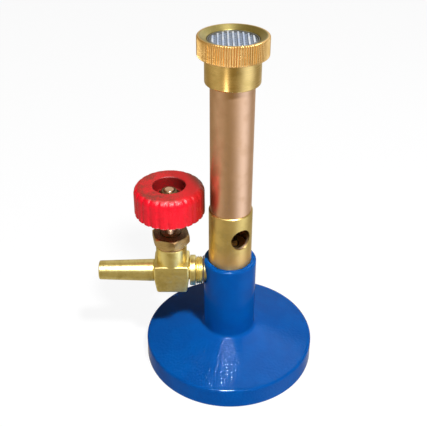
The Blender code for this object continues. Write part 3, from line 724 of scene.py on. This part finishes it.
def make_spindle():
    """Needle spindle: needle, thread, seal groove, shoulder under the handwheel, threaded end."""
    low, top = floor_of("valve_spindle"), top_of("valve_spindle")
    seal = (floor_of("spindle_o_ring") + top_of("spindle_o_ring")) / 2
    stem_r = 2.45
    stop = 81.2             # shoulder that the knob's hub stands on
    stop_r = 3.6
    stop_low = stop - 1.2
    groove_r = 1.95
    groove_low = seal - 1
    groove_high = seal + 1
    thread_r = 3.0
    thread_low = 58.0
    thread_high = 64.0
    pitch = 0.7             # finer than the 1 mm a turn that the joint gives
    depth = 0.22
    run_out = 0.3           # plain length at each end of the thread
    nut_thread_low = stop + 8
    nut_thread_high = top - 0.5
    needle_r = 2.2
    needle_high = 56.0
    point_r = 0.6
    outline = [(0, top), (SPINDLE_END_R, top, 0.5), (SPINDLE_END_R, stop)]
    outline += [(stop_r, stop, 0.2), (stop_r, stop_low, 0.2), (stem_r, stop_low)]
    outline += [(stem_r, groove_high), (groove_r, groove_high), (groove_r, groove_low)]
    outline += [(stem_r, groove_low), (stem_r, thread_high + 0.3), (thread_r, thread_high)]
    outline += [(thread_r, thread_low), (needle_r, thread_low - 0.4), (needle_r, needle_high, 0.2)]
    outline += [(point_r, low), (0, low)]

    def thread(angle, r, z):
        phase = (z / pitch - angle / (2 * math.pi)) % 1.0
        groove = depth * min(1.0, 2 * abs(phase - 0.5))
        if nut_thread_low < z < nut_thread_high and r > SPINDLE_END_R - 0.1:
            return -groove
        if thread_low + run_out < z < thread_high - run_out and r > thread_r - 0.1:
            return -groove
        return 0.0

    spindle = spun("spindle", filled(rounded(outline), longest=0.12), ON_VALVE, 48, thread)
    finish_piece(spindle, "handwheel", COPPER, "copper_tube", "valve_spindle")
    low, high = floor_of("spindle_o_ring"), top_of("spindle_o_ring")
    section = (high - low) / 2
    ring_r = 2.8
    sides = 16
    ring = []
    for step in range(sides):
        angle = 2 * math.pi * step / sides
        ring.append((ring_r + section * math.cos(angle), seal + section * math.sin(angle)))
    seal_ring = spun("o_ring", ring, ON_VALVE, steps=56)
    finish_piece(seal_ring, "spindle_seal", RUBBER, "seal_rubber", "spindle_o_ring")


def make_knob():
    """Moulded handwheel with rounded flutes that run out at the shoulder and at the lower edge."""
    outer = radius_of("knob")
    skirt = 84.2
    hub = floor_of("knob")
    top = top_of("knob")
    recess_r = 7.5
    recess_floor = 92.5
    web = recess_floor - 3.0
    skirt_wall = 2.4
    hub_root_r = 6.0
    hub_r = 5.4
    inset = 0.1             # keeps the flutes' crests inside the CAD's box
    flutes = 24
    fade_width = 1.5        # radial width over which the flutes reach their full depth
    land = 0.15             # share of a flute's wave that stays uncut
    least_depth = 0.20
    more_depth = 0.36
    outline = [(recess_r - 0.5, recess_floor, 0.6), (recess_r, top, 0.7), (outer, top, 3.5)]
    outline += [(outer + inset, skirt, 0.9), (outer - skirt_wall, skirt, 0.5)]
    outline += [(outer - skirt_wall - 0.5, web, 1.0), (hub_root_r, web, 0.8), (hub_r, hub, 0.4)]
    outline += [(KNOB_BORE_R, hub), (KNOB_BORE_R, recess_floor)]

    def flute(angle, r, z):
        side = min(1.0, max(0.0, (r - outer + skirt_wall) / fade_width))
        if side <= 0 or z < skirt - 0.1:
            return 0.0
        phase = math.cos(flutes * angle)
        groove = max(0.0, phase - land) / (1 - land)
        # The grooves are worn shallow halfway up
        end = abs(2 * (z - skirt) / (top - skirt) - 1)
        return -inset - (least_depth + more_depth * end ** 2) * side * groove ** 0.8

    shape = filled(rounded(outline, 8), longest=0.6)
    knob = spun("handwheel_knob", shape, ON_VALVE, flutes * 12, flute)
    finish_piece(knob, "handwheel", RED, "red_plastic", "knob")

    washer_low, washer_high = floor_of("knob_washer"), top_of("knob_washer")
    washer_r = radius_of("knob_washer")
    outline = rounded([(washer_r, washer_high, 0.15), (washer_r, washer_low),
                       (KNOB_BORE_R, washer_low), (KNOB_BORE_R, washer_high)])
    washer = spun("dished_washer", outline, ON_VALVE, steps=64)
    finish_piece(washer, "handwheel", AGED, "aged_brass", "knob_washer")

    nut_low, nut_high = floor_of("knob_nut"), top_of("knob_nut")
    corner = hex_radius(7.0)
    corner_turn = 10        # degrees that a corner stands from -Y towards +X
    place = turn_about(ON_VALVE, corner_turn - 90)
    prism = [(0, nut_low), (corner, nut_low), (corner, nut_high), (0, nut_high)]
    nut = spun("handwheel_nut", prism, place, steps=6)
    chamfer_r = 3.4
    outside = 4.4
    envelope = [(0, nut_high), (chamfer_r, nut_high, 0.2), (outside, nut_high - 0.6)]
    envelope += [(outside, nut_low), (0, nut_low)]
    combine(nut, [spun("keep_nut", rounded(envelope), ON_VALVE, steps=64)], "INTERSECT")
    hole_low = nut_low - OVERRUN
    hole_high = nut_high + OVERRUN
    combine(nut, [cylinder("cut_nut", KNOB_BORE_R, hole_low, hole_high, ON_VALVE, steps=48)])
    finish_piece(nut, "handwheel", TURNED, "turned_brass", "knob_nut")


# Head

def make_head():
    outer = radius_of("head_socket")
    low, high = floor_of("head_socket"), top_of("head_socket")
    bore = radius_of("burner_tube") - TUBE_WALL
    socket = radius_of("burner_tube") + GAP
    lip = top_of("burner_tube") + GAP
    mouth = 10.2
    outline = [(mouth, high, 0.1), (outer, high, 0.3), (outer, low, 1.6), (socket, low, 0.2)]
    outline += [(socket, lip), (bore, lip), (bore, lip + 1.0), (mouth, high - 0.8)]
    head = spun("socket", rounded(outline, 8), steps=144)
    finish_piece(head, "head", TURNED, "turned_brass", "head_socket")

    flange_r = radius_of("grid_frame")
    low, high = floor_of("grid_frame"), top_of("grid_frame")
    inner = radius_of("grid") + GAP
    sleeve = inner + 0.4
    flange = low + 0.8
    outline = [(inner, high, 0.1), (sleeve, high, 0.1), (sleeve, flange), (flange_r, flange, 0.1)]
    outline += [(flange_r, low), (inner, low)]
    ferrule = spun("grid_ferrule", rounded(outline, 3), steps=120)
    finish_piece(ferrule, "head", NICKEL, "nickel_strip", "grid_frame")


def make_grid():
    """Bright straight strips along Y, with a crimped strip standing in each gap between them."""
    rim_r = radius_of("grid")
    rim_wall = 0.35
    reach = rim_r - rim_wall
    top = top_of("grid")
    rim_top = top - 0.15
    floor = floor_of("grid")
    pitch = 2.1
    strip_thick = 0.70
    crimped_thick = 0.30
    crimp = 1.05            # length along a crimped strip from one fold to the next
    swing = 0.72            # how far a fold stands out from the strip's middle
    narrow_swing = 0.35     # the same in the outermost gaps, which are narrower
    count = int(reach / pitch)
    bm = bmesh.new()

    def wall(path, thick, low, high):
        """Upright sheet of an even thickness along a path of (x, y) points."""
        rows = []
        for index, (x, y) in enumerate(path):
            before = Vector(path[max(index - 1, 0)])
            after = Vector(path[min(index + 1, len(path) - 1)])
            along = (after - before).normalized()
            side = Vector((-along.y, along.x)) * thick / 2
            row = []
            for sign, z in ((-1, low), (1, low), (1, high), (-1, high)):
                place = ((x + sign * side.x) * MM, (y + sign * side.y) * MM, z * MM)
                row.append(bm.verts.new(place))
            rows.append(row)
        for row, after in zip(rows, rows[1:]):
            for i in range(4):
                j = (i + 1) % 4
                bm.faces.new((row[i], row[j], after[j], after[i]))
        bm.faces.new(reversed(rows[0]))
        bm.faces.new(rows[-1])

    for index in range(-count, count + 1):
        x = index * pitch
        half = math.sqrt(reach ** 2 - x ** 2)
        wall([(x, -half), (x, half)], strip_thick, floor + 0.15, top)
    for index in range(-count - 1, count + 1):
        x = (index + 0.5) * pitch
        out = swing
        if abs(x) > reach - 0.8:
            x = math.copysign(reach - 0.75, x)
            out = narrow_swing
        half = math.sqrt(reach ** 2 - x ** 2) - 0.3
        folds = int(2 * half / crimp)
        path = []
        for fold in range(folds + 1):
            y = -half + 2 * half * fold / folds
            path.append((x + (out if fold % 2 else -out), y))
        wall(path, crimped_thick, floor + 0.3, top - 0.45)
    mesh = bpy.data.meshes.new("grid_strips")
    bmesh.ops.recalc_face_normals(bm, faces=bm.faces)
    bm.to_mesh(mesh)
    bm.free()
    strips = new_object("grid_strips", mesh)
    finish_piece(strips, "head", NICKEL, "nickel_strip", "grid")
    outline = rounded([(reach, rim_top, 0.1), (rim_r, rim_top, 0.1), (rim_r, floor), (reach, floor)])
    rim = spun("grid_rim", outline, steps=120)
    rim.data.materials.append(NICKEL)
    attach(rim, "head")


def make_ring():
    """Knurled ring: rolled straight teeth that fade into the chamfers, and a coned mouth."""
    outer = radius_of("knurled_ring")
    low, high = floor_of("knurled_ring"), top_of("knurled_ring")
    thread_r = radius_of("head_socket") + GAP
    lip_z = top_of("head_socket") + 1.4
    lip_r = radius_of("grid") + 1.0
    mouth_z = top_of("grid") + 0.2
    mouth_r = 13.6
    teeth = 90
    tooth_depth = 0.52
    fade_width = 0.45       # radial width over which the teeth reach their full depth
    outline = [(mouth_r, high, 0.25), (outer, high, 0.75), (outer, low, 0.7), (thread_r, low, 0.2)]
    outline += [(thread_r, lip_z), (lip_r, lip_z), (lip_r, mouth_z, 0.15)]

    def knurl(angle, r, z):
        side = min(1.0, max(0.0, (r - outer + 0.55) / fade_width))
        if side <= 0:
            return 0.0
        tooth = abs(math.cos(teeth * angle / 2))
        wear = 1.0 + 0.5 * wobble((angle * 9.0, 0.2, 0.4), 1.0, 2.0)
        return -tooth_depth * side * (1 - tooth ** 0.8) * wear

    ring = spun("clamping_ring", filled(rounded(outline, 6), longest=0.9), steps=teeth * 8, wave=knurl)
    finish_piece(ring, "head", KNURLED, "knurled_brass", "knurled_ring")


def paint_carried_nodes():
    """CAD nodes that show as they are, through the air hole or not at all, in fine materials."""
    for node, material in (("seat_gasket", FIBRE), ("port_washer", FIBRE), ("burner_seat", TURNED),
                           ("gas_jet", TURNED)):
        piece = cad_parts[node]
        for slot in piece.material_slots:
            slot.link = "OBJECT"
            slot.material = material


# Stage, light and camera

def stage_white(name, albedo, strength):
    """Evenly lit pale surface."""
    made = bpy.data.materials.new(name)
    made.use_nodes = True
    shader = made.node_tree.nodes["Principled BSDF"]
    shader.inputs["Base Color"].default_value = (albedo, albedo, albedo, 1)
    shader.inputs["Roughness"].default_value = 0.9
    shader.inputs["Specular IOR Level"].default_value = 0.0
    shader.inputs["Emission Color"].default_value = (1, 1, 1, 1)
    shader.inputs["Emission Strength"].default_value = strength
    return made


def make_stage():
    """Pale lit table, and a pale backdrop that only the camera sees."""
    table_r = 1400
    thick = 0.6
    wall_top = 900
    table = spun("table", [(0, -thick), (table_r, -thick), (table_r, 0.0), (0, 0.0)], steps=96)
    table.location.z = -0.1 * MM    # clear of the foot's underside
    table.data.materials.append(stage_white("table_white", 0.10, 0.92))
    table.visible_glossy = False
    table.visible_shadow = False
    behind = table_r + 5
    wall = spun("backdrop", [(table_r, -1), (table_r, wall_top), (behind, wall_top), (behind, -1)],
                steps=96)
    wall.data.materials.append(stage_white("backdrop_white", 0.0, 0.985))
    wall.visible_glossy = False
    wall.visible_diffuse = False
    wall.visible_shadow = False


def towards(bearing, elevation):
    """Unit vector; bearing in degrees from -Y towards +X, elevation above the horizon."""
    a, e = math.radians(bearing), math.radians(elevation)
    return Vector((math.sin(a) * math.cos(e), -math.cos(a) * math.cos(e), math.sin(e)))


# Panels that reflections see: bearing, elevation (None for a tall one), narrowness, colour
PANELS = (
    (64, None, 6.5, (0.93, 1.09, 1.36)),
    (-72, None, 5.0, (0.37, 0.38, 0.38)),
    (150, None, 6.0, (0.30, 0.34, 0.38)),
    (-150, None, 6.0, (0.14, 0.15, 0.16)),
    (-26, -33, 25.0, (0.06, 0.06, 0.05)),
    (158, 33, 11.0, (0.82, 0.86, 0.94)),
)
ROOM = (0.25, 0.188, 0.075)     # warm and dim, as reflections see it
AMBIENT = (0.10, 0.10, 0.11)    # what lights matt surfaces


def make_world():
    """Soft even ambient light, with a dim warm room and cool panels where glossy surfaces look."""
    world = bpy.data.worlds.new("studio")
    bpy.context.scene.world = world
    world.use_nodes = True
    world.cycles.sampling_method = "NONE"
    tree = world.node_tree

    def vector_node(operation, first, second=None):
        node = tree.nodes.new("ShaderNodeVectorMath")
        node.operation = operation
        for plug, value in zip(node.inputs, (first, second)):
            if isinstance(value, (tuple, Vector)):
                plug.default_value = value
            elif value is not None:
                tree.links.new(value, plug)
        return node

    direction = tree.nodes.new("ShaderNodeTexCoord").outputs["Generated"]
    flat = vector_node("MULTIPLY", direction, (1, 1, 0)).outputs[0]
    level = vector_node("NORMALIZE", flat).outputs[0]
    total = ROOM
    for bearing, elevation, narrowness, colour in PANELS:
        tall = elevation is None
        axis = towards(bearing, 0 if tall else elevation)
        dot = vector_node("DOT_PRODUCT", level if tall else direction, axis)
        clip = tree.nodes.new("ShaderNodeMath")
        clip.operation = "MAXIMUM"
        clip.inputs[1].default_value = 0.0
        tree.links.new(dot.outputs["Value"], clip.inputs[0])
        lobe = tree.nodes.new("ShaderNodeMath")
        lobe.operation = "POWER"
        lobe.inputs[1].default_value = narrowness
        tree.links.new(clip.outputs[0], lobe.inputs[0])
        tint = vector_node("SCALE", colour)
        tree.links.new(lobe.outputs[0], tint.inputs["Scale"])
        if tall:
            # Tall panels fade out above the burner, where the ceiling is dark
            split = tree.nodes.new("ShaderNodeSeparateXYZ")
            tree.links.new(direction, split.inputs[0])
            fade = tree.nodes.new("ShaderNodeMapRange")
            fade.inputs["From Min"].default_value = 0.0
            fade.inputs["From Max"].default_value = 0.5
            fade.inputs["To Min"].default_value = 1.0
            fade.inputs["To Max"].default_value = 0.12
            tree.links.new(split.outputs["Z"], fade.inputs["Value"])
            shorter = vector_node("SCALE", tint.outputs[0])
            tree.links.new(fade.outputs[0], shorter.inputs["Scale"])
            tint = shorter
        total = vector_node("ADD", tint.outputs[0], total).outputs[0]
    path = tree.nodes.new("ShaderNodeLightPath")
    choose = tree.nodes.new("ShaderNodeMix")
    choose.data_type = "VECTOR"
    tree.links.new(path.outputs["Is Glossy Ray"], choose.inputs["Factor"])
    plugs = [plug for plug in choose.inputs if plug.type == "VECTOR" and plug.name in "AB"]
    plugs[0].default_value = AMBIENT
    tree.links.new(total, plugs[1])
    result = [plug for plug in choose.outputs if plug.type == "VECTOR"][0]
    tree.links.new(result, tree.nodes["Background"].inputs["Color"])


LIGHTS_AIM = Vector((-0.01, 0, 0.07))    # metres; near the middle of the burner


def area_light(name, bearing, elevation, size, brightness, colour=(1, 1, 1), only=None, tall=1.0,
               blocked_by=None):
    """Oval soft light aimed at the burner; brightness is what it gives a white surface.

    With a list of pieces it only adds a highlight to those, and only they block it. blocked_by
    names other pieces to block it instead: one that stands clear of the light leaves it unblocked.
    """
    distance = 0.9          # metres
    lamp = bpy.data.lights.new(name, "AREA")
    lamp.shape = "ELLIPSE"
    lamp.size = size
    lamp.size_y = size * tall
    lamp.color = colour
    lamp.energy = brightness * math.pi ** 2 * distance ** 2
    away = towards(bearing, elevation)
    made = bpy.data.objects.new(name, lamp)
    made.location = LIGHTS_AIM + away * distance
    made.rotation_euler = (-away).to_track_quat("-Z", "Y").to_euler()
    bpy.context.scene.collection.objects.link(made)
    if only:
        made.visible_diffuse = False
        lit = bpy.data.collections.new(name + "_pieces")
        for piece in only:
            lit.objects.link(bpy.data.objects[piece])
        made.light_linking.receiver_collection = lit
        made.light_linking.blocker_collection = lit
        if blocked_by:
            screen = bpy.data.collections.new(name + "_screen")
            for piece in blocked_by:
                screen.objects.link(bpy.data.objects[piece])
            made.light_linking.blocker_collection = screen


def make_lights():
    """One key light, and a highlight for each piece that the photograph shows with one."""
    area_light("key", 30, 59, 0.10, 1.20)
    # The hidden O-ring as blocker lets this gleam reach the cone through the boss
    area_light("paint_gleam", 178, 71.5, 0.024, 1.00, only=["foot_casting"], tall=1.8,
               blocked_by=["o_ring"])
    area_light("foot_card", -4, 55, 0.25, 20.0, only=["foot_casting"], tall=1.6)
    area_light("foot_haze", 152, 56, 0.62, 0.65, only=["foot_casting"])
    area_light("knob_gleam", 0, 60, 1.00, 6.0, only=["handwheel_knob"])
    area_light("knob_under", 0, -70, 0.60, 1.2, only=["handwheel_knob"])
    area_light("spindle_gleam", 0, -33, 0.80, 1.60, only=["spindle"])
    area_light("collar_gleam", -2, 46, 1.20, 0.80, (1.0, 1.0, 1.15), ["collar_sleeve"])
    area_light("socket_gleam", -28, -33, 0.14, 0.17, (1.0, 0.93, 0.85), ["socket"])
    area_light("ring_side", -62, -28, 0.35, 0.26, only=["clamping_ring"])
    area_light("nozzle_gleam", -5, 53, 0.55, 0.95, (0.93, 0.98, 1.15), ["nozzle"])
    area_light("nipple_gleam", -5, 53, 0.60, 0.55, (0.93, 0.98, 1.25), ["nipple", "clamp_ring"])
    area_light("block_gleam", -10, 62, 0.70, 0.40, (0.93, 0.98, 1.15), ["valve_block"])


def make_camera():
    data = bpy.data.cameras.new("camera")
    data.sensor_width = 36.0
    data.lens = 58.24
    data.clip_start = 0.01
    data.clip_end = 20.0
    camera = bpy.data.objects.new("camera", data)
    camera.location = (-0.00797, -0.27003, 0.25712)
    camera.rotation_euler = (math.radians(57.17), 0, 0)
    bpy.context.scene.collection.objects.link(camera)
    bpy.context.scene.camera = camera


make_camera()
make_foot()
make_tube()
make_collar()
make_nozzle()
make_nipple()
make_lock_ring()
make_valve_body()
make_bonnet()
make_spindle()
make_knob()
make_head()
make_grid()
make_ring()
paint_carried_nodes()
make_stage()
make_world()
make_lights()
bpy.context.scene.view_settings.view_transform = "Standard"

bpy.context.view_layer.update()
